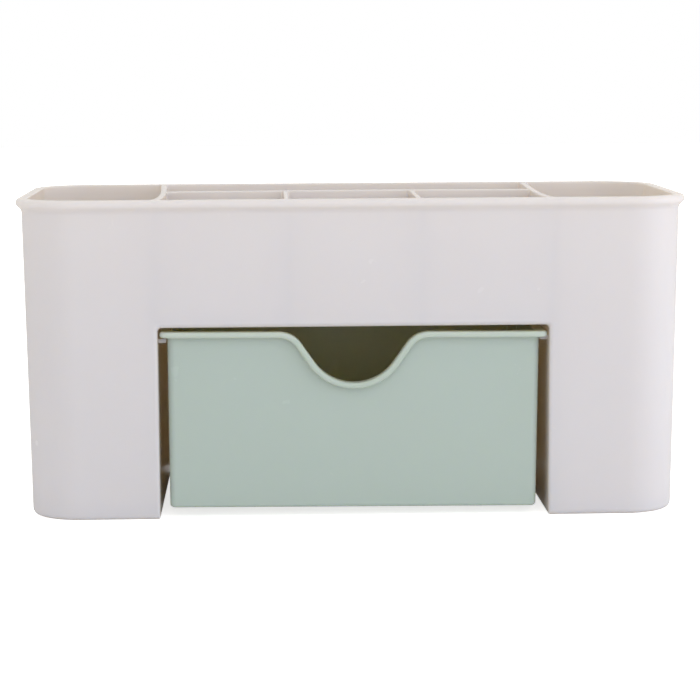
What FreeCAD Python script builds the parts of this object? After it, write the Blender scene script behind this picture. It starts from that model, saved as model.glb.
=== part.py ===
"""Desktop organiser with a drawer.

A moulded housing stands on two hollow legs. Each leg is a deep well for pens. The bridge
between the legs carries one long tray at the back and three short trays at the front. A
drawer hangs by its rim on two runners under the bridge and pulls out to the front.

Millimetres. The origin is the centre of the footprint, on the table top.
+X points right, +Y points to the back and +Z points up.
"""
import FreeCAD, Part
import math
import os

Vector = FreeCAD.Vector
X_AXIS = Vector(1, 0, 0)
Y_AXIS = Vector(0, 1, 0)
Z_AXIS = Vector(0, 0, 1)

# Housing, over its rim
rim_length = 220.0
rim_depth = 96.0
height = 104.5
rim_overhang = 1.8
corner_radius = 18.5
wall = 2.0
wall_draft = 0.96
foot_rounding = 1.8

# Rolled rim: an upright band with a sloping underside and a bevelled top edge
rim_band = 2.1
rim_flare = 1.7
rim_bevel = 0.6

# Compartments
divider = 1.6
divider_draft = 0.5
long_divider_y = 0.0
front_trays = 3
tray_floor = 2.0
well_floor = 2.0
pocket_corner = 1.0

# Drawer bay, open to the front and to the table
bay_width = 127.2
bay_height = 63.0
bay_corner = 1.5
bay_edge_bevel = 0.8
back_wall_lift = 2.5

# Runners on the legs' inner walls
runner_reach = 2.6
runner_thickness = 1.3
runner_setback = 4.0
runner_rounding = 0.4

# Drawer
drawer_side_gap = 0.5
drawer_top_gap = 1.7
drawer_back_gap = 0.5
drawer_table_gap = 3.6
runner_gap = 0.4
drawer_wall = 1.6
drawer_floor = 2.0
drawer_draft = 0.5
drawer_corner = 2.6
drawer_inner_corner = 1.2
drawer_foot_rounding = 2.0
drawer_rim_overhang = 2.5
drawer_rim_height = 2.0
drawer_rim_corner = 2.8
drawer_rim_rounding = 0.4
drawer_rim_bevel = 0.4

# Finger scoop in the drawer's front, measured along the top of the rim
scoop_depth = 16.7
scoop_bowl_radius = 15.6
scoop_shoulder_radius = 9.0
scoop_flank_angle = 55.0

# Worked out from the sizes above
half_length = rim_length / 2 - rim_overhang
half_depth = rim_depth / 2 - rim_overhang
half_bay = bay_width / 2
tray_level = bay_height + tray_floor
wall_lean = math.tan(math.radians(wall_draft))
beyond = rim_length
stub = pocket_corner + wall
tolerance = 0.01

drawer_top = bay_height - drawer_top_gap
drawer_rim_foot = drawer_top - drawer_rim_height
drawer_front = -(half_depth - (height - drawer_top) * wall_lean)
drawer_back = half_depth - wall - (height - drawer_rim_foot) * wall_lean - drawer_back_gap
drawer_middle = (drawer_front + drawer_back) / 2
drawer_half_x = half_bay - drawer_side_gap - drawer_rim_overhang
drawer_half_y = (drawer_back - drawer_front) / 2 - drawer_rim_overhang


# ---------------------------------------------------------------- building blocks

def rounded_outline(half_x, half_y, radius, z, y_centre=0.0):
    """Four sides joined by quarter arcs, as a closed wire at height z."""
    arcs = []
    for turn, (side_x, side_y) in enumerate([(1, 1), (-1, 1), (-1, -1), (1, -1)]):
        centre = Vector(side_x * (half_x - radius), y_centre + side_y * (half_y - radius), z)
        start = turn * math.pi / 2
        arcs.append(Part.ArcOfCircle(Part.Circle(centre, Z_AXIS, radius), start, start + math.pi / 2))
    edges = []
    for arc, following in zip(arcs, arcs[1:] + arcs[:1]):
        edges.append(arc.toShape())
        edges.append(Part.LineSegment(arc.EndPoint, following.StartPoint).toShape())
    return Part.Wire(edges)


def between(*wires):
    """Solid with straight walls from each wire to the next."""
    return Part.makeLoft(list(wires), True, True)


def block(x_low, x_high, y_low, y_high, z_low, z_high):
    corner = Vector(x_low, y_low, z_low)
    return Part.makeBox(x_high - x_low, y_high - y_low, z_high - z_low, corner)


def rectangle(x_low, x_high, y_low, y_high, z):
    """The four corners of a level rectangle."""
    corners = [(x_low, y_low), (x_high, y_low), (x_high, y_high), (x_low, y_high)]
    return [Vector(x, y, z) for x, y in corners]


def flat_face(corners):
    return Part.Face(Part.makePolygon(corners + corners[:1]))


def tapered_block(low, high):
    """Block with flat sides between a lower and an upper rectangle."""
    faces = [flat_face(low), flat_face(high)]
    for here, after in [(0, 1), (1, 2), (2, 3), (3, 0)]:
        faces.append(flat_face([low[here], low[after], high[after], high[here]]))
    return Part.Solid(Part.Shell(faces))


def samples(edge):
    """Points along an edge, its two ends among them."""
    first, last = edge.ParameterRange
    return [edge.valueAt(first + (last - first) * step / 4) for step in range(5)]


def edges_where(solid, wanted):
    """The edges whose points all pass the test."""
    return [edge for edge in solid.Edges if all(wanted(point) for point in samples(edge))]


def round_edges(solid, radius, wanted):
    return solid.makeFillet(radius, edges_where(solid, wanted))


def bevel_edges(solid, width, wanted):
    return solid.makeChamfer(width, edges_where(solid, wanted))


def at_height(z):
    return lambda point: abs(point.z - z) < tolerance


def fuse(first, *others):
    return first.fuse(list(others)).removeSplitter()


# ---------------------------------------------------------------- housing

def wall_outline(z, grow=0.0):
    """The housing's outside at height z, moved out by grow. The walls lean out towards the rim."""
    reach = grow - (height - z) * wall_lean
    return rounded_outline(half_length + reach, half_depth + reach, corner_radius + reach, z)


def rim_outline(z, inset=0.0):
    radius = corner_radius + rim_overhang - inset
    return rounded_outline(rim_length / 2 - inset, rim_depth / 2 - inset, radius, z)


def rim():
    """Upright band round the top, on a flare that grows out of the wall."""
    band_foot = height - rim_band
    root = wall / 2
    flare_foot = band_foot - rim_flare * (rim_overhang + root) / rim_overhang
    return between(
        wall_outline(flare_foot, -root),
        rim_outline(band_foot),
        rim_outline(height - rim_bevel),
        rim_outline(height, rim_bevel),
    )


def solid_body():
    """The housing's outer form, before anything is hollowed out."""
    body = between(wall_outline(0), wall_outline(height))
    body = round_edges(body, foot_rounding, at_height(0))
    return fuse(body, rim())


def inside_of_walls():
    """Everything that the outer wall encloses."""
    return between(wall_outline(-wall, -wall), wall_outline(height + wall, -wall))


def pocket(x_low, x_high, y_low, y_high, floor):
    """Space of one compartment: its limits at the rim, its walls leaning in towards its floor."""
    lean = math.tan(math.radians(divider_draft))
    low = (height - floor) * lean
    high = -wall * lean
    walls = tapered_block(
        rectangle(x_low + low, x_high - low, y_low + low, y_high - low, floor),
        rectangle(x_low + high, x_high - high, y_low + high, y_high - high, height + wall),
    )
    space = walls.common(inside_of_walls())
    near = low + pocket_corner

    def upright_corner(edge):
        start, end = edge.Vertexes[0].Point, edge.Vertexes[-1].Point
        by_divider = min(abs(start.x - x_low), abs(start.x - x_high)) < near
        return by_divider and abs(start.z - end.z) > near

    return space.makeFillet(pocket_corner, [edge for edge in space.Edges if upright_corner(edge)])


def front_tray_edge(place):
    """X of the left side of the front tray with this number, counted from 0."""
    return -half_bay + place * (bay_width + divider) / front_trays


def compartments():
    """Two wells in the legs, a long tray at the back and a row of trays at the front."""
    well_side = half_bay + wall
    spaces = [
        pocket(-beyond, -well_side, -beyond, beyond, well_floor),
        pocket(well_side, beyond, -beyond, beyond, well_floor),
        pocket(-half_bay, half_bay, long_divider_y + divider / 2, beyond, tray_level),
    ]
    for place in range(front_trays):
        left = front_tray_edge(place)
        right = front_tray_edge(place + 1) - divider
        spaces.append(pocket(left, right, -beyond, long_divider_y - divider / 2, tray_level))
    return spaces


def bay_passage():
    """Straight passage under the bridge, from front to back, with rounded upper corners."""
    passage = block(-half_bay, half_bay, -beyond, beyond, -wall, bay_height)

    def upper_corner(point):
        return abs(abs(point.x) - half_bay) < tolerance and abs(point.z - bay_height) < tolerance

    return round_edges(passage, bay_corner, upper_corner)


def on_passage(point):
    """Whether a point of the housing's outside lies on the edge of the bay passage."""
    beside = abs(abs(point.x) - half_bay) < tolerance and point.z < bay_height
    above = abs(point.z - bay_height) < tolerance and abs(point.x) < half_bay
    corner_x = half_bay - bay_corner
    corner_z = bay_height - bay_corner
    from_centre = math.hypot(abs(point.x) - corner_x, point.z - corner_z)
    in_corner = abs(point.x) > corner_x and point.z > corner_z and abs(from_centre - bay_corner) < tolerance
    return beside or above or in_corner


def back_of_bay():
    """The housing's back wall where it closes the bay, its lower edge clear of the table."""
    inner_top = half_depth - wall
    inner_foot = inner_top - height * wall_lean
    profile = [(beyond, 0), (inner_foot, 0), (inner_top, height), (beyond, height), (beyond, 0)]
    behind = Part.Face(Part.makePolygon([Vector(-beyond, y, z) for y, z in profile]))
    behind = behind.extrude(X_AXIS * 2 * beyond)
    panel = block(-half_bay - wall, half_bay + wall, 0, beyond, back_wall_lift, bay_height + tray_floor)
    return solid_body().common(behind).common(panel)


def bay_edge(point):
    """Whether a point lies where the bay passage opens to the outside."""
    outside_y = half_depth - (height - point.z) * wall_lean - foot_rounding
    opens = abs(point.y) > outside_y - tolerance or abs(point.z) < tolerance
    return opens and on_passage(point)


def housing():
    """The whole moulding in one piece."""
    shell = solid_body().cut(compartments()).cut(bay_passage())
    shell = bevel_edges(shell, bay_edge_bevel, bay_edge)
    return fuse(shell, back_of_bay())


def housing_nodes():
    """The moulding, divided across its plain walls into legs, bridge walls, deck and dividers."""
    whole = housing()
    leg_cut = half_bay - stub
    back_cut = half_depth - wall - stub
    front_cut = -back_cut
    root = tray_level + stub
    split_low = long_divider_y - stub
    split_high = long_divider_y + stub
    regions = {
        "left_leg": block(-beyond, -leg_cut, -beyond, beyond, -wall, beyond),
        "right_leg": block(leg_cut, beyond, -beyond, beyond, -wall, beyond),
        "front_wall": block(-leg_cut, leg_cut, -beyond, front_cut, -wall, beyond),
        "back_wall": block(-leg_cut, leg_cut, back_cut, beyond, -wall, beyond),
        "tray_deck": block(-leg_cut, leg_cut, front_cut, back_cut, -wall, root),
        "long_divider": block(-leg_cut, leg_cut, split_low, split_high, root, beyond),
    }
    for place in range(1, front_trays):
        x = front_tray_edge(place) - divider / 2
        region = block(x - stub, x + stub, front_cut, split_low, root, beyond)
        regions["cross_divider_" + str(place)] = region
    return {name: whole.common(region) for name, region in regions.items()}


# ---------------------------------------------------------------- runners

def runner(side):
    """Ledge on a leg's inner wall that carries one edge of the drawer's rim."""
    top = drawer_rim_foot - runner_gap
    inner = half_bay - runner_reach
    front = drawer_front + runner_setback
    ledge = block(inner, half_bay, front, beyond, top - runner_thickness, top)
    ledge = round_edges(ledge, runner_rounding, lambda point: abs(point.x - inner) < tolerance)
    ledge = ledge.common(inside_of_walls())
    return ledge if side > 0 else ledge.mirror(Vector(0, 0, 0), X_AXIS)


# ---------------------------------------------------------------- drawer

def drawer_outline(z, corner=drawer_corner, inset=0.0):
    """The drawer's wall at height z, with this corner at the rim. It leans out towards the rim."""
    reach = -(drawer_top - z) * math.tan(math.radians(drawer_draft))
    half_x = drawer_half_x - inset + reach
    half_y = drawer_half_y - inset + reach
    return rounded_outline(half_x, half_y, corner + reach, z, drawer_middle)


def drawer_inside(z):
    return drawer_outline(z, drawer_inner_corner, drawer_wall)


def drawer_rim_outline(z):
    half_x = drawer_half_x + drawer_rim_overhang
    half_y = drawer_half_y + drawer_rim_overhang
    return rounded_outline(half_x, half_y, drawer_rim_corner, z, drawer_middle)


def scoop_curve(drop):
    """The scoop's edges from left to right, all lowered by drop: shoulder, flank, bowl, flank, shoulder."""
    angle = math.radians(scoop_flank_angle)
    radii = scoop_shoulder_radius + scoop_bowl_radius
    flank = (scoop_depth - radii * (1 - math.cos(angle))) / math.sin(angle)
    half_width = radii * math.sin(angle) + flank * math.cos(angle)
    shoulder = scoop_shoulder_radius - drop
    bowl = scoop_bowl_radius + drop
    shoulder_z = drawer_top - scoop_shoulder_radius
    bowl_z = drawer_top - scoop_depth + scoop_bowl_radius

    def on_shoulder(side, turn):
        x = half_width - shoulder * math.sin(turn)
        return Vector(side * x, drawer_front, shoulder_z + shoulder * math.cos(turn))

    def on_bowl(side, turn):
        return Vector(side * bowl * math.sin(turn), drawer_front, bowl_z - bowl * math.cos(turn))

    return [
        Part.Arc(on_shoulder(-1, 0), on_shoulder(-1, angle / 2), on_shoulder(-1, angle)).toShape(),
        Part.LineSegment(on_shoulder(-1, angle), on_bowl(-1, angle)).toShape(),
        Part.Arc(on_bowl(-1, angle), on_bowl(-1, 0), on_bowl(1, angle)).toShape(),
        Part.LineSegment(on_bowl(1, angle), on_shoulder(1, angle)).toShape(),
        Part.Arc(on_shoulder(1, angle), on_shoulder(1, angle / 2), on_shoulder(1, 0)).toShape(),
    ]


def under_flat_top(curve, top, depth):
    """Area between a curve and a flat top above it, extruded to the back by depth."""
    left = curve[0].Vertexes[0].Point
    right = curve[-1].Vertexes[-1].Point
    corners = [right, Vector(right.x, right.y, top), Vector(left.x, left.y, top), left]
    outline = Part.Wire(curve + Part.makePolygon(corners).Edges)
    return Part.Face(outline).extrude(Y_AXIS * depth)


def follows(*wires):
    """Test that holds for points on one of the wires."""
    return lambda point: any(Part.Vertex(point).distToShape(wire)[0] < tolerance for wire in wires)


def drawer():
    """Open box with a rim turned outward, which dips in a finger scoop at the front."""
    through_wall = drawer_rim_overhang + drawer_wall
    body = between(drawer_outline(drawer_table_gap), drawer_outline(drawer_top))
    body = round_edges(body, drawer_foot_rounding, at_height(drawer_table_gap))
    rim_ring = between(drawer_rim_outline(drawer_rim_foot), drawer_rim_outline(drawer_top))
    dip = under_flat_top(scoop_curve(drawer_rim_height), drawer_top, through_wall)
    body = fuse(body, rim_ring, dip)
    body = body.cut(under_flat_top(scoop_curve(0), drawer_top + wall, 2 * through_wall))

    lower_nose = follows(drawer_rim_outline(drawer_rim_foot), Part.Wire(scoop_curve(drawer_rim_height)))
    upper_nose = follows(drawer_rim_outline(drawer_top), Part.Wire(scoop_curve(0)))
    body = bevel_edges(body, drawer_rim_bevel, lower_nose)
    body = round_edges(body, drawer_rim_rounding, upper_nose)

    floor = drawer_table_gap + drawer_floor
    return body.cut(between(drawer_inside(floor), drawer_inside(drawer_top + wall)))


def make_nodes():
    nodes = housing_nodes()
    nodes["left_runner"] = runner(-1)
    nodes["right_runner"] = runner(1)
    nodes["drawer"] = drawer()
    return nodes


os.makedirs("parts", exist_ok=True)
for node_name, shape in make_nodes().items():
    shape.exportStep("parts/" + node_name + ".step")
    print(node_name, len(shape.Solids), shape.isValid(), round(shape.Volume, 1))
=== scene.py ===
"""Desktop organiser with a drawer: its finished surfaces, floor, light and camera.

Metres, in the model's own frame: +X right, +Y to the back, +Z up, table top at Z 0.
The housing is one moulding: one mesh stands for the nodes of its walls, deck and runners.
"""

import math

import bmesh
import bpy
from mathutils import Matrix, Vector


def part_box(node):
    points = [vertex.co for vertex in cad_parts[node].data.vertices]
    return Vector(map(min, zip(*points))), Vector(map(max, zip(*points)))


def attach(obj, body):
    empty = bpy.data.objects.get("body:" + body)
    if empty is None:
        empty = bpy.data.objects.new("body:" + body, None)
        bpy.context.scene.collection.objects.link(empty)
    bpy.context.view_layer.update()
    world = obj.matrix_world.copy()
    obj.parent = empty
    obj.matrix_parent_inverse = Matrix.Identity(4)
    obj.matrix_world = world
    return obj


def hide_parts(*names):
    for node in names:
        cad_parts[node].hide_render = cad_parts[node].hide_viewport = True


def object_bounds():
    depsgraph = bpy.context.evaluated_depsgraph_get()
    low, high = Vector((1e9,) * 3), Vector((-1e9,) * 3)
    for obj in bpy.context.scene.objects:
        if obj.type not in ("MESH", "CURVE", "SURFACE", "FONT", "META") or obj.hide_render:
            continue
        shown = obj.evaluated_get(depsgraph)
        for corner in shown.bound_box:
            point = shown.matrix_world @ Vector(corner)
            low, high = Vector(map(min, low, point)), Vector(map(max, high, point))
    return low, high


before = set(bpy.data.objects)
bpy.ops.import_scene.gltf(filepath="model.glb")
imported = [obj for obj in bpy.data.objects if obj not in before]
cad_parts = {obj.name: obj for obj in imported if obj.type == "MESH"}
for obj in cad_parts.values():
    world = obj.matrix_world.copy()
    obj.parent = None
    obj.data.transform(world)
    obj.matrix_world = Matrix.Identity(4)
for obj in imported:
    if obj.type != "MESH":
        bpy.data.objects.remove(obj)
cad_low, cad_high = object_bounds()

MM = 0.001
HOUSING_NODES = sorted(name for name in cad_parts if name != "drawer")

# Housing, outside
height = cad_high.z
rim_overhang = 1.8 * MM
half_length = cad_high.x - rim_overhang
half_depth = cad_high.y - rim_overhang
corner_radius = 18.5 * MM
wall = 2.0 * MM
wall_lean = math.tan(math.radians(0.96))
foot_rounding = 1.8 * MM
rim_band = 2.1 * MM
rim_flare = 1.7 * MM
rim_top_rounding = 1.4 * MM
rim_nose_rounding = 1.5 * MM
rim_root_rounding = 2.0 * MM

# Compartments
divider = 1.6 * MM
divider_lean = math.tan(math.radians(0.5))
front_trays = 3
floor_thickness = 2.0 * MM
pocket_corner = 1.0 * MM
pocket_floor_rounding = 1.2 * MM
pocket_lip_rounding = 0.5 * MM
side_bow = 2.0 * MM
side_bow_lead = 0.6
long_bow = 2.5 * MM
bow_fade = 1.5
bow_levels = 6
bow_steps = 16

# Drawer bay
runner_low, runner_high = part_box("right_runner")
half_bay = runner_high.x
bay_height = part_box("tray_deck")[0].z
back_wall_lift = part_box("back_wall")[0].z
bay_corner = 1.5 * MM
bay_side_rounding = 1.2 * MM
bay_top_rounding = 1.6 * MM
bay_foot_rounding = 0.8 * MM
runner_rounding = 0.4 * MM
runner_set_back = 2.0 * MM

# Drawer
drawer_low, drawer_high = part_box("drawer")
drawer_overhang = 2.5 * MM
drawer_rim_height = 2.0 * MM
drawer_wall = 1.6 * MM
drawer_floor = 2.0 * MM
drawer_depth_extra = 0.5 * MM
drawer_lean = math.tan(math.radians(0.5))
drawer_corner = 2.6 * MM
drawer_rim_corner = 2.8 * MM
drawer_inner_corner = 1.2 * MM
drawer_foot_rounding = 1.2 * MM
drawer_floor_rounding = 0.8 * MM
drawer_rim_top_rounding = 0.85 * MM
drawer_rim_nose_rounding = 0.8 * MM
drawer_lip_rounding = 0.3 * MM
drawer_root_rounding = 0.3 * MM
drawer_skew = math.radians(0.36)

# Finger scoop, along the top of the drawer's rim
scoop_depth = 16.7 * MM
scoop_bowl_radius = 15.6 * MM
scoop_shoulder_radius = 9.0 * MM
scoop_flank_angle = math.radians(55)

# Plastic: how light passes it, its colour patches, its relief, what use has done to it, and a painted
# highlight on its rims
plastic_ior = 1.49
sunk_share = 0.5
sunk_reach = 2.0 * MM
through_share = 0.33
cloud_size = 35 * MM
gloss_patch = 9 * MM
smoothest = 0.22
roughest = 0.28
wave_length = 14 * MM
wave_height = 0.02 * MM
grain_size = 0.7 * MM
grain_height = 0.002 * MM
sink_depth = 0.06 * MM
sink_width = 1.8 * MM
scuff_size = 4 * MM
scuff_strength = 0.4
# Band along the rims: polished by handling, and made paler there as a painted highlight
rim_band_reach = 3.0 * MM
rim_patch_size = 12 * MM
painted_highlight_paleness = 0.4
wear_polish = 0.08

# Studio
paper_size = 3.0
paper_white = (0.92, 0.92, 0.92, 1)
paper_rough = 0.9
paper_glow = 0.72
sky_light = 0.99
camera_place = Vector((-28.09, -778.5, 150.4)) * MM
camera_yaw = math.radians(2.087)
camera_pitch = math.radians(7.375)
camera_roll = math.radians(0.309)
camera_lens = 117.4
camera_sensor = 36

# Mesh fineness
corner_steps = 20
small_steps = 5
support = 1.0 * MM
far = 2 * half_length
close = 0.02 * MM
sharp_angle = math.radians(40)
flat_wall_weight = 80


# ---------------------------------------------------------------- outlines

def turn(start, end, steps):
    """Arc between two vectors of the same length, both ends among its points."""
    angle = start.angle(end)
    points = []
    for step in range(steps + 1):
        share = step / steps
        mixed = start * math.sin((1 - share) * angle) + end * math.sin(share * angle)
        points.append(mixed / math.sin(angle))
    return points


def rounded_path(corners, steps):
    """Path through corners of (x, y, radius), with an arc at each corner that has a radius."""
    points = []
    count = len(corners)
    for place, (x, y, radius) in enumerate(corners):
        here = Vector((x, y))
        if not radius:
            points.append(here)
            continue
        to_last = (Vector(corners[place - 1][:2]) - here).normalized()
        to_next = (Vector(corners[(place + 1) % count][:2]) - here).normalized()
        half = to_last.angle(to_next) / 2
        centre = here + (to_last + to_next).normalized() * radius / math.sin(half)
        reach = radius / math.tan(half)
        start = here + to_last * reach - centre
        end = here + to_next * reach - centre
        points += [centre + spoke for spoke in turn(start, end, steps)]
    return points


def level_ring(x_low, x_high, y_low, y_high, radii, z):
    """Rounded rectangle at one height, counter-clockwise from its front left corner."""
    corners = [(x_low, y_low), (x_high, y_low), (x_high, y_high), (x_low, y_high)]
    corners = [(x, y, radius) for (x, y), radius in zip(corners, radii)]
    return [Vector((x, y, z)) for x, y in rounded_path(corners, corner_steps)]


def level_outline(x_low, x_high, y_low, y_high, radii):
    """Rounded rectangle with extra points along its sides, counter-clockwise from its front left."""
    corners = [(x_low, y_low), (x_high, y_low), (x_high, y_high), (x_low, y_high)]
    outline = []
    for place, ((x, y), radius) in enumerate(zip(corners, radii)):
        last, following = corners[place - 1], corners[(place + 1) % 4]
        here = Vector((x, y))
        to_last = (Vector(last) - here).normalized() * radius
        to_next = (Vector(following) - here).normalized() * radius
        centre = here + to_last + to_next
        arc = [centre + spoke for spoke in turn(-to_next, -to_last, corner_steps)]
        next_radius = radii[(place + 1) % 4]
        end = Vector(following) - (Vector(following) - here).normalized() * next_radius
        outline += arc
        outline += [arc[-1].lerp(end, step / bow_steps) for step in range(1, bow_steps)]
    return outline


# ---------------------------------------------------------------- meshes

def loft(name, rings):
    """Closed mesh through rings with equally many points, flat at both ends."""
    mesh = bmesh.new()
    rows = [[mesh.verts.new(point) for point in ring] for ring in rings]
    count = len(rows[0])
    for row, upper in zip(rows, rows[1:]):
        for here in range(count):
            after = (here + 1) % count
            mesh.faces.new([row[here], row[after], upper[after], upper[here]])
    for row in (rows[0], rows[-1]):
        middle = mesh.verts.new(sum((vertex.co for vertex in row), Vector()) / count)
        for here in range(count):
            mesh.faces.new([row[here], row[(here + 1) % count], middle])
    bmesh.ops.recalc_face_normals(mesh, faces=mesh.faces)
    return add_object(name, mesh)


def add_object(name, mesh):
    """Puts a finished mesh into the scene as an object."""
    data = bpy.data.meshes.new(name)
    mesh.to_mesh(data)
    mesh.free()
    piece = bpy.data.objects.new(name, data)
    bpy.context.scene.collection.objects.link(piece)
    return piece


def combine(piece, others, operation):
    """Cuts the others out of the piece, or joins them to it, and removes them."""
    for other in others:
        step = piece.modifiers.new(other.name, "BOOLEAN")
        step.object = other
        step.operation = operation
        step.solver = "EXACT"
    graph = bpy.context.evaluated_depsgraph_get()
    piece.data = bpy.data.meshes.new_from_object(piece.evaluated_get(graph))
    piece.modifiers.clear()
    for other in others:
        bpy.data.objects.remove(other)


def weld(piece):
    """Joins the points that the cuts left on top of each other."""
    mesh = bmesh.new()
    mesh.from_mesh(piece.data)
    bmesh.ops.remove_doubles(mesh, verts=mesh.verts, dist=close / 4)
    mesh.to_mesh(piece.data)
    mesh.free()


def finish_surface(piece, material):
    """Smooth shading that keeps flat walls flat and breaks only at sharp edges."""
    piece.data.materials.clear()
    piece.data.materials.append(material)
    piece.data.shade_smooth()
    piece.data.set_sharp_from_angle(angle=sharp_angle)
    weighted = piece.modifiers.new("flat walls", "WEIGHTED_NORMAL")
    weighted.keep_sharp = True
    weighted.weight = flat_wall_weight


# ---------------------------------------------------------------- housing

def outer_body():
    """The housing's outside from its foot to its rim, still solid."""
    def reach(z):
        return -(height - z) * wall_lean

    band_foot = height - rim_band
    flare_foot = band_foot - rim_flare
    profile = rounded_path([
        (reach(0) - foot_rounding - support, 0, 0),
        (reach(0), 0, foot_rounding),
        (reach(flare_foot), flare_foot, rim_root_rounding),
        (rim_overhang, band_foot, rim_nose_rounding),
        (rim_overhang, height, rim_top_rounding),
        (rim_overhang - rim_top_rounding - support / 4, height, 0),
    ], small_steps)
    rings = []
    for offset, z in profile:
        x, y = half_length + offset, half_depth + offset
        rings.append(level_ring(-x, x, -y, y, [corner_radius + offset] * 4, z))
    return loft("housing", rings)


def side_divider_bow(y):
    """How far a divider beside a well has crept towards the middle, most in its front half."""
    share = (y / (half_depth - wall) + 1) / 2
    return side_bow * math.sin(math.pi * min(max(share, 0), 1) ** side_bow_lead)


def long_divider_bow(x):
    """How far the long divider has crept towards the back."""
    return long_bow * math.cos(math.pi / 2 * min(abs(x) / half_bay, 1))


def tray_pitch():
    """From one front tray to the next."""
    return (2 * half_bay + divider) / front_trays


def no_bow(_):
    """For a side that is straight."""
    return 0.0


def shaped(outline, box, bows, share):
    """Outline with its four sides bowed: left, right, front and back."""
    x_low, x_high, y_low, y_high = box
    left, right, front, back = bows
    points = []
    for x, y in outline:
        across = (x - x_low) / (x_high - x_low)
        along = (y - y_low) / (y_high - y_low)
        shift_x = (1 - across) * left(y) + across * right(y)
        shift_y = (1 - along) * front(x) + along * back(x)
        points.append((x + share * shift_x, y + share * shift_y))
    return points


def pocket(left, right, front, back, floor):
    """Space of one compartment. Each side is its place at the rim, its lean and its bow."""
    levels = [(0, floor + (height - floor) * step / bow_levels, 0) for step in range(1, bow_levels)]
    profile = rounded_path([
        (pocket_floor_rounding + support / 4, floor, 0),
        (0, floor, pocket_floor_rounding),
        *levels,
        (0, height, pocket_lip_rounding),
        (-far, height, 0),
    ], small_steps)[:-1]
    # The lip's arc turned towards a far corner. Its place is taken by a point in the open, above the rim.
    profile.append(Vector((-pocket_lip_rounding, height + wall)))
    deck = bay_height + floor_thickness
    rings = []
    for inset, z in profile:
        drop = height - z
        x_low = left[0] + drop * left[1] + inset
        x_high = right[0] - drop * right[1] - inset
        y_low = front[0] + drop * front[1] + inset
        y_high = back[0] - drop * back[1] - inset
        outer = corner_radius - wall - drop * wall_lean - inset
        inner = pocket_corner - inset
        radii = []
        for side_x, side_y in [(left, front), (right, front), (right, back), (left, back)]:
            both_outer = side_x[1] == side_y[1] == wall_lean
            radii.append(outer if both_outer else inner)
        outline = level_outline(x_low, x_high, y_low, y_high, radii)
        share = min(max((z - deck) / (height - deck), 0), 1) ** bow_fade
        bows = [side[2] for side in (left, right, front, back)]
        outline = shaped(outline, (x_low, x_high, y_low, y_high), bows, share)
        rings.append([Vector((x, y, z)) for x, y in outline])
    return loft("pocket", rings)


def compartments():
    """Two wells in the legs, a long tray at the back and a row of trays at the front."""
    end = half_length - wall
    side = half_depth - wall
    front = (-side, wall_lean, no_bow)
    back = (side, wall_lean, no_bow)
    well_side = half_bay + wall

    to_right = side_divider_bow

    def to_left(y):
        return -side_divider_bow(y)

    left_end = (-end, wall_lean, no_bow)
    right_end = (end, wall_lean, no_bow)
    spaces = [
        pocket(left_end, (-well_side, divider_lean, to_right), front, back, floor_thickness),
        pocket((well_side, divider_lean, to_left), right_end, front, back, floor_thickness),
    ]
    deck = bay_height + floor_thickness
    across = (divider / 2, divider_lean, long_divider_bow)
    left_side = (-half_bay, divider_lean, to_right)
    right_side = (half_bay, divider_lean, to_left)
    spaces.append(pocket(left_side, right_side, across, back, deck))
    pitch = tray_pitch()
    across = (-divider / 2, divider_lean, long_divider_bow)
    for place in range(front_trays):
        left = -half_bay + place * pitch
        right = left + pitch - divider
        left_side = (left, divider_lean, to_right if place == 0 else no_bow)
        right_side = (right, divider_lean, to_left if place == front_trays - 1 else no_bow)
        spaces.append(pocket(left_side, right_side, front, across, deck))
    return spaces


def back_wall_inside(z):
    """Y of the back wall's inner face."""
    return half_depth - wall - (height - z) * wall_lean


def bay():
    """Space of the drawer bay: open to the front and, under the back wall, to the back."""
    corner = [
        (half_bay + bay_foot_rounding + support, 0, 0),
        (half_bay, 0, bay_foot_rounding),
        (half_bay, back_wall_lift, 0),
        (half_bay, bay_height, bay_corner),
        (0, bay_height, 0),
    ]
    profile = rounded_path(corner, small_steps)[1:-1]
    rings = [bay_ring(profile[0].x, far, -wall)]
    for x, z in profile:
        if z <= back_wall_lift:
            rings.append(bay_ring(x, far, z - close / 2))
        if z >= back_wall_lift:
            rings.append(bay_ring(x, back_wall_inside(z), z))
    return loft("bay", rings)


def bay_ring(half_x, back, z):
    """The bay's outline at one height, far out at the front."""
    outline = [(-half_x, -far), (half_x, -far), (half_x, back), (-half_x, back)]
    return [Vector((x, y, z)) for x, y in outline]


def mouth_outline():
    """The bay's outline in the front wall as (x, z) points, each with its outward direction."""
    reach = bay_corner
    points = [(Vector((half_bay, -wall)), Vector((1, 0)))]
    for step in range(small_steps + 1):
        angle = math.pi / 2 * step / small_steps
        outward = Vector((math.cos(angle), math.sin(angle)))
        points.append((Vector((half_bay - reach, bay_height - reach)) + reach * outward, outward))
    mirrored = [(Vector((-point.x, point.y)), Vector((-out.x, out.y))) for point, out in reversed(points)]
    return points + mirrored


def bay_mouth():
    """Cutter that rounds the bay's front edge, more along the top than along the sides."""
    def ring(spread, depth):
        points = []
        for point, outward in mouth_outline():
            radius = bay_side_rounding * abs(outward.x) + bay_top_rounding * outward.y
            x, z = point + outward * radius * spread
            front = -half_depth + (height - z) * wall_lean
            points.append(Vector((x, front + radius * depth, z)))
        return points

    rings = [ring(1, -far / bay_top_rounding), ring(1, -close / bay_top_rounding)]
    for step in range(1, 2 * small_steps + 1):
        angle = math.pi / 2 * step / (2 * small_steps)
        rings.append(ring(1 - math.sin(angle), 1 - math.cos(angle)))
    # The cutter ends in the open, inside the bay and behind the rounding.
    inwards, behind = 0.2, 1.5
    rings.append(ring(-inwards, behind))
    return loft("bay_mouth", rings)


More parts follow.
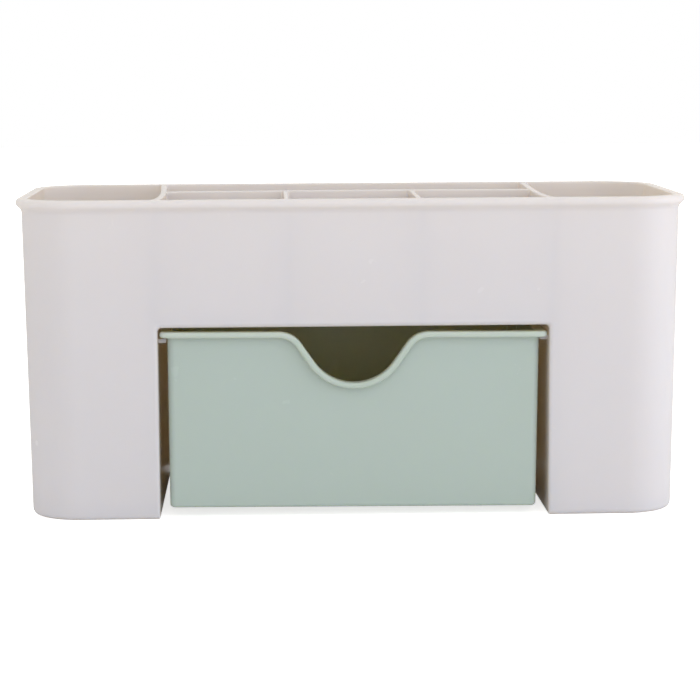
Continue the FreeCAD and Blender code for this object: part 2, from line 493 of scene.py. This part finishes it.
def runner(side):
    """Ledge on a leg's inner wall, rooted in the wall."""
    edges = [
        (runner_low.x, runner_low.z, runner_rounding),
        (runner_high.x + wall / 2, runner_low.z, 0),
        (runner_high.x + wall / 2, runner_high.z, 0),
        (runner_low.x, runner_high.z, runner_rounding),
    ]
    section = rounded_path(edges, small_steps)
    rings = []
    for y in (runner_low.y + runner_set_back, back_wall_inside(runner_low.z) + wall / 2):
        rings.append([Vector((side * x, y, z)) for x, z in section])
    return loft("runner", rings)


def build_housing():
    housing = outer_body()
    combine(housing, compartments(), "DIFFERENCE")
    combine(housing, [bay()], "DIFFERENCE")
    combine(housing, [bay_mouth()], "DIFFERENCE")
    combine(housing, [runner(-1), runner(1)], "UNION")
    weld(housing)
    return housing


# ---------------------------------------------------------------- drawer

def scoop_stations():
    """Points and upward directions along the scoop, from left to right, as (x, z) pairs below the rim."""
    angle = scoop_flank_angle
    radii = scoop_shoulder_radius + scoop_bowl_radius
    flank = (scoop_depth - radii * (1 - math.cos(angle))) / math.sin(angle)
    half_width = radii * math.sin(angle) + flank * math.cos(angle)
    bowl_z = scoop_bowl_radius - scoop_depth
    left = []
    for step in range(2 * small_steps + 1):
        lean = angle * step / (2 * small_steps)
        up = Vector((math.sin(lean), math.cos(lean)))
        left.append((Vector((-half_width, -scoop_shoulder_radius)) + scoop_shoulder_radius * up, up))
    for step in range(2 * small_steps + 1):
        lean = angle * (1 - step / (2 * small_steps))
        up = Vector((math.sin(lean), math.cos(lean)))
        left.append((Vector((0, bowl_z)) - scoop_bowl_radius * up, up))
    right = [(Vector((-point.x, point.y)), Vector((-up.x, up.y))) for point, up in reversed(left[:-1])]
    return left + right


def drawer_stations():
    """Stations round the drawer's rim: a point on the wall, and how it moves out, in and up."""
    half_x = drawer_high.x - drawer_overhang
    half_y = (drawer_high.y - drawer_low.y) / 2 - drawer_overhang
    middle = (drawer_high.y + drawer_low.y) / 2
    top = drawer_high.z
    up = Vector((0, 0, 1))
    wider = (drawer_rim_corner - drawer_corner) / drawer_overhang
    tighter = (drawer_corner - drawer_inner_corner) / drawer_wall
    stations = []
    for number, (side_x, side_y) in enumerate([(-1, -1), (1, -1), (1, 1), (-1, 1)]):
        diagonal = Vector((side_x, side_y, 0))
        centre_y = middle + side_y * (half_y - drawer_corner)
        centre = Vector((side_x * (half_x - drawer_corner), centre_y, top))
        for step in range(2 * small_steps + 1):
            angle = math.pi * (1 + (number + step / (2 * small_steps)) / 2)
            outward = Vector((math.cos(angle), math.sin(angle), 0))
            spread = diagonal * (1 - wider) + outward * wider
            inward = diagonal * (1 - tighter) + outward * tighter
            stations.append((centre + drawer_corner * outward, outward, spread, inward, up))
        if number == 0:
            front = Vector((0, -1, 0))
            for (x, z), (up_x, up_z) in scoop_stations():
                tilted = Vector((up_x, 0, up_z))
                stations.append((Vector((x, middle - half_y, top + z)), front, front, front, tilted))
    return stations


def drawer_column(station):
    """One station's points, from the underside's edge out, round the rim and down to the floor's edge."""
    point, outward, spread, inward, up = station
    top = drawer_high.z
    foot = drawer_low.z - drawer_depth_extra
    below_scoop = 6 * support
    waist = top - scoop_depth - drawer_rim_height - below_scoop
    rim = rounded_path([
        (0, -drawer_rim_height - support, 0),
        (0, -drawer_rim_height, drawer_root_rounding),
        (drawer_overhang, -drawer_rim_height, drawer_rim_nose_rounding),
        (drawer_overhang, 0, drawer_rim_top_rounding),
        (-drawer_wall, 0, drawer_lip_rounding),
        (-drawer_wall, -support, 0),
    ], small_steps)
    underside = rounded_path([
        (-drawer_foot_rounding - support / 4, foot, 0),
        (0, foot, drawer_foot_rounding),
        (0, waist, 0),
    ], small_steps)
    floor = foot + drawer_floor
    inside = rounded_path([
        (-drawer_wall, waist, 0),
        (-drawer_wall, floor, drawer_floor_rounding),
        (-drawer_wall - drawer_floor_rounding - support / 4, floor, 0),
    ], small_steps)

    def moved(start, out):
        """Out over the rim, in through the wall, and further in towards the middle of the corner."""
        over = max(out, 0)
        through = max(min(out, 0), -drawer_wall)
        beyond = min(out + drawer_wall, 0)
        return start + spread * over + inward * through + outward * beyond

    def on_wall(start, out, z):
        lowered = Vector((start.x, start.y, z)) + outward * (z - top) * drawer_lean
        return lowered + (moved(start, out) - start)

    def on_outside(start, out, z):
        return Vector((start.x, start.y, z)) + outward * (out + (z - top) * drawer_lean)

    over_rim = [moved(point, out) + up * rise for out, rise in rim]
    below = [on_outside(point - up * (drawer_rim_height + support), out, z) for out, z in underside]
    within = [on_wall(point - up * support, out, z) for out, z in inside]
    return below + over_rim + within


def build_drawer():
    """The drawer hangs a little crooked: its right side lies on the runner, its left side is clear."""
    columns = [drawer_column(station) for station in drawer_stations()]
    drawer = loft("drawer_box", list(zip(*columns)))
    pivot = Vector((0, 0, drawer_high.z - drawer_rim_height))
    hang = Matrix.Translation(pivot) @ Matrix.Rotation(drawer_skew, 4, "Y") @ Matrix.Translation(-pivot)
    drawer.data.transform(hang)
    return drawer


# ---------------------------------------------------------------- materials

def colour(code):
    """Linear colour from an sRGB hex code."""
    channels = [int(code[place:place + 2], 16) / 255 for place in (0, 2, 4)]
    linear = [c / 12.92 if c <= 0.04045 else ((c + 0.055) / 1.055) ** 2.4 for c in channels]
    return (*linear, 1.0)


def add(tree, kind, inputs=None, **settings):
    """Adds a node, sets its properties, and sets or links its inputs."""
    node = tree.nodes.new(kind)
    for name, value in settings.items():
        setattr(node, name, value)
    for name, value in (inputs or {}).items():
        if isinstance(value, bpy.types.NodeSocket):
            tree.links.new(value, node.inputs[name])
        else:
            node.inputs[name].default_value = value
    return node


def dip(tree, distance, middle):
    """1 where the distance is the middle of a sink mark, falling off smoothly on both sides."""
    off = add(tree, "ShaderNodeMath", {0: distance, 1: middle}, operation="SUBTRACT").outputs[0]
    share = add(tree, "ShaderNodeMath", {0: off, 1: sink_width}, operation="DIVIDE").outputs[0]
    square = add(tree, "ShaderNodeMath", {0: share, 1: share}, operation="MULTIPLY").outputs[0]
    fall = add(tree, "ShaderNodeMath", {0: 0.0, 1: square}, operation="SUBTRACT").outputs[0]
    return add(tree, "ShaderNodeMath", {0: fall}, operation="EXPONENT").outputs[0]


def sink_marks(tree, place):
    """Shallow upright dips in the housing's outer walls, where the dividers inside meet them."""
    axes = add(tree, "ShaderNodeSeparateXYZ", {0: place}).outputs
    aside = add(tree, "ShaderNodeMath", {0: axes["X"]}, operation="ABSOLUTE").outputs[0]
    in_front = add(tree, "ShaderNodeMath", {0: axes["Y"], 1: 0.0}, operation="LESS_THAN").outputs[0]
    by_wells = dip(tree, aside, half_bay + wall / 2)
    by_trays = add(tree, "ShaderNodeMath", {0: dip(tree, aside, tray_pitch() / 2), 1: in_front},
                   operation="MULTIPLY").outputs[0]
    return add(tree, "ShaderNodeMath", {0: by_wells, 1: by_trays}, operation="ADD").outputs[0]


def rim_polish_and_highlight(tree, place, top):
    """1 on the rim at the height top, fading out below in an uneven line. It sets where hands polish the
    rim, and where the rim's painted highlight lies.
    """
    z = add(tree, "ShaderNodeSeparateXYZ", {0: place}).outputs["Z"]
    near = add(tree, "ShaderNodeMapRange", {"Value": z, "From Min": top - rim_band_reach,
                                            "From Max": top}).outputs[0]
    rim_patches = add(tree, "ShaderNodeTexNoise", {"Vector": place, "Scale": 1 / rim_patch_size, "Detail": 2.0})
    uneven = add(tree, "ShaderNodeMapRange", {"Value": rim_patches.outputs["Fac"], "From Min": 0.3,
                                              "From Max": 0.6, "To Min": 0.6})
    return add(tree, "ShaderNodeMath", {0: near, 1: uneven.outputs[0]}, operation="MULTIPLY").outputs[0]


def moulded_polypropylene(name, shade, cloudy, pale_scuffs_and_highlight, glow, through, top, sinks=None):
    """Polypropylene, injection moulded in a lightly polished mould.

    It looks soft and a little waxy: light sinks in and comes out nearby, so corners stay light,
    and it comes through thin walls with a warm tint. The gloss is broad, over gentle waves left
    by the cooling plastic. A few small pale scuffs come from use. The rim is polished where hands
    take hold of it, and paler there as a painted highlight. The glow says how far red, green and
    blue light sinks in, top is the height of the rim, and sinks marks where the plastic has shrunk.
    """
    material = bpy.data.materials.new(name)
    material.use_nodes = True
    tree = material.node_tree
    shader = tree.nodes["Principled BSDF"]
    shader.inputs["IOR"].default_value = plastic_ior
    shader.inputs["Subsurface Weight"].default_value = sunk_share
    shader.inputs["Subsurface Radius"].default_value = glow
    shader.inputs["Subsurface Scale"].default_value = sunk_reach
    place = add(tree, "ShaderNodeTexCoord").outputs["Object"]

    clouds = add(tree, "ShaderNodeTexNoise", {"Vector": place, "Scale": 1 / cloud_size, "Detail": 1.0})
    tone = add(tree, "ShaderNodeMix", {0: clouds.outputs["Fac"], 6: colour(shade), 7: colour(cloudy)},
               data_type="RGBA")
    spots = add(tree, "ShaderNodeTexNoise", {"Vector": place, "Scale": 1 / scuff_size, "Detail": 3.0,
                                             "Distortion": 1.5})
    scuffs = add(tree, "ShaderNodeMapRange", {"Value": spots.outputs["Fac"], "From Min": 0.72,
                                              "From Max": 0.8, "To Max": scuff_strength})
    # Painted highlight: the top band of the rim is made paler, on top of its real polish from handling
    polished_and_highlit = rim_polish_and_highlight(tree, place, top)
    painted_highlight = add(tree, "ShaderNodeMath", {0: polished_and_highlit, 1: painted_highlight_paleness}, operation="MULTIPLY")
    scuffs_and_highlight = add(tree, "ShaderNodeMath", {0: scuffs.outputs[0], 1: painted_highlight.outputs[0]}, operation="MAXIMUM")
    scuffed_and_highlit = add(tree, "ShaderNodeMix", {0: scuffs_and_highlight.outputs[0], 6: tone.outputs[2], 7: colour(pale_scuffs_and_highlight)},
               data_type="RGBA")
    tree.links.new(scuffed_and_highlit.outputs[2], shader.inputs["Base Color"])

    patches = add(tree, "ShaderNodeTexNoise", {"Vector": place, "Scale": 1 / gloss_patch, "Detail": 2.0})
    gloss = add(tree, "ShaderNodeMapRange", {"Value": patches.outputs["Fac"], "From Min": 0.2,
                                             "From Max": 0.8, "To Min": smoothest, "To Max": roughest})
    polish = add(tree, "ShaderNodeMath", {0: polished_and_highlit, 1: wear_polish}, operation="MULTIPLY")
    smooth = add(tree, "ShaderNodeMath", {0: gloss.outputs[0], 1: polish.outputs[0]}, operation="SUBTRACT")
    tree.links.new(smooth.outputs[0], shader.inputs["Roughness"])

    waves = add(tree, "ShaderNodeTexNoise", {"Vector": place, "Scale": 1 / wave_length, "Detail": 1.0})
    wavy = add(tree, "ShaderNodeBump", {"Height": waves.outputs["Fac"], "Distance": wave_height})
    if sinks:
        wavy = add(tree, "ShaderNodeBump", {"Height": sinks(tree, place), "Distance": sink_depth,
                                            "Normal": wavy.outputs["Normal"]}, invert=True)
    grain = add(tree, "ShaderNodeTexNoise", {"Vector": place, "Scale": 1 / grain_size, "Detail": 2.0})
    grained = add(tree, "ShaderNodeBump", {"Height": grain.outputs["Fac"], "Distance": grain_height,
                                           "Normal": wavy.outputs["Normal"]})
    tree.links.new(grained.outputs["Normal"], shader.inputs["Normal"])

    passing = add(tree, "ShaderNodeBsdfTranslucent", {"Color": colour(through)})
    mixed = add(tree, "ShaderNodeMixShader", {0: through_share, 1: shader.outputs[0],
                                              2: passing.outputs[0]})
    tree.links.new(mixed.outputs[0], tree.nodes["Material Output"].inputs["Surface"])
    return material


# ---------------------------------------------------------------- floor, light and camera

def build_floor():
    """White paper that keeps the shadow. A glow that only the camera sees keeps the rest white."""
    mesh = bmesh.new()
    bmesh.ops.create_grid(mesh, x_segments=1, y_segments=1, size=paper_size)
    floor = add_object("floor", mesh)
    material = bpy.data.materials.new("white_paper")
    material.use_nodes = True
    tree = material.node_tree
    shader = tree.nodes["Principled BSDF"]
    shader.inputs["Base Color"].default_value = paper_white
    shader.inputs["Roughness"].default_value = paper_rough
    ray = add(tree, "ShaderNodeLightPath").outputs["Is Camera Ray"]
    glow = add(tree, "ShaderNodeMath", {0: ray, 1: paper_glow}, operation="MULTIPLY")
    shader.inputs["Emission Color"].default_value = (1, 1, 1, 1)
    tree.links.new(glow.outputs[0], shader.inputs["Emission Strength"])
    floor.data.materials.append(material)


def build_world():
    """Even white light from all round, pure white to the camera."""
    world = bpy.data.worlds.new("studio")
    bpy.context.scene.world = world
    world.use_nodes = True
    tree = world.node_tree
    tree.nodes.clear()
    ray = add(tree, "ShaderNodeLightPath").outputs["Is Camera Ray"]
    strength = add(tree, "ShaderNodeMapRange", {"Value": ray, "To Min": sky_light, "To Max": 1.0})
    sky = add(tree, "ShaderNodeBackground", {"Color": (1, 1, 1, 1), "Strength": strength.outputs[0]})
    add(tree, "ShaderNodeOutputWorld", {"Surface": sky.outputs[0]})


def soft_box(name, place, target, width, tall, power, turned=0.0, shade="FFFFFF"):
    """Rectangular lamp, in metres and watts, facing its target and turned about its own axis."""
    light = bpy.data.lights.new(name, "AREA")
    light.shape = "RECTANGLE"
    light.size = width
    light.size_y = tall
    light.energy = power
    light.color = colour(shade)[:3]
    lamp = bpy.data.objects.new(name, light)
    lamp.location = place
    aim = (Vector(target) - Vector(place)).to_track_quat("-Z", "Y")
    lamp.rotation_euler = (aim @ Matrix.Rotation(turned, 3, "Z").to_quaternion()).to_euler()
    bpy.context.scene.collection.objects.link(lamp)


def build_lights():
    """A light tent, strongest on the right, with a lamp that lights the paper beside the housing."""
    middle = (0, 0, height / 2)
    beside = (0.60, -0.07, 0)
    soft_box("key_light", (0.3, -1.2, 1.1), middle, width=1.2, tall=0.9, power=1.5)
    soft_box("front_light", (0.0, -1.5, 0.2), middle, width=1.6, tall=0.35, power=1.1)
    soft_box("right_light", (1.27, -0.46, 0.36), middle, width=0.9, tall=0.8, power=4.5,
             shade="EDF2FF")
    soft_box("floor_light", (0.60, -0.07, 0.13), beside, width=0.7, tall=0.6, power=0.5,
             turned=math.radians(-40))


def build_camera():
    """Long lens in front of the organiser, a little above its rim and to the left."""
    lens = bpy.data.cameras.new("camera")
    lens.sensor_width = camera_sensor
    lens.lens = camera_lens
    camera = bpy.data.objects.new("camera", lens)
    aim = Matrix.Rotation(-camera_yaw, 4, "Z") @ Matrix.Rotation(math.pi / 2 - camera_pitch, 4, "X")
    camera.matrix_world = Matrix.Translation(camera_place) @ aim @ Matrix.Rotation(-camera_roll, 4, "Z")
    bpy.context.scene.collection.objects.link(camera)
    bpy.context.scene.camera = camera


# ---------------------------------------------------------------- assembly


build_camera()
build_world()
build_floor()
build_lights()

housing = build_housing()
finish_surface(housing, moulded_polypropylene(
    "off_white_polypropylene", shade="E1E3EC", cloudy="E0E1E9", pale_scuffs_and_highlight="F2F2F6",
    glow=(1.0, 0.87, 0.75), through="FAE8C4", top=height, sinks=sink_marks))
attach(housing, "housing")
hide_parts(*HOUSING_NODES)

drawer = build_drawer()
finish_surface(drawer, moulded_polypropylene(
    "mint_polypropylene", shade="C7D8D5", cloudy="C6D6D2", pale_scuffs_and_highlight="E2EBE4",
    glow=(0.9, 1.0, 0.75), through="DCC810", top=drawer_high.z))
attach(drawer, "drawer")
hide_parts("drawer")

bpy.context.scene.view_settings.view_transform = "Standard"
bpy.context.scene.cycles.diffuse_bounces = 8
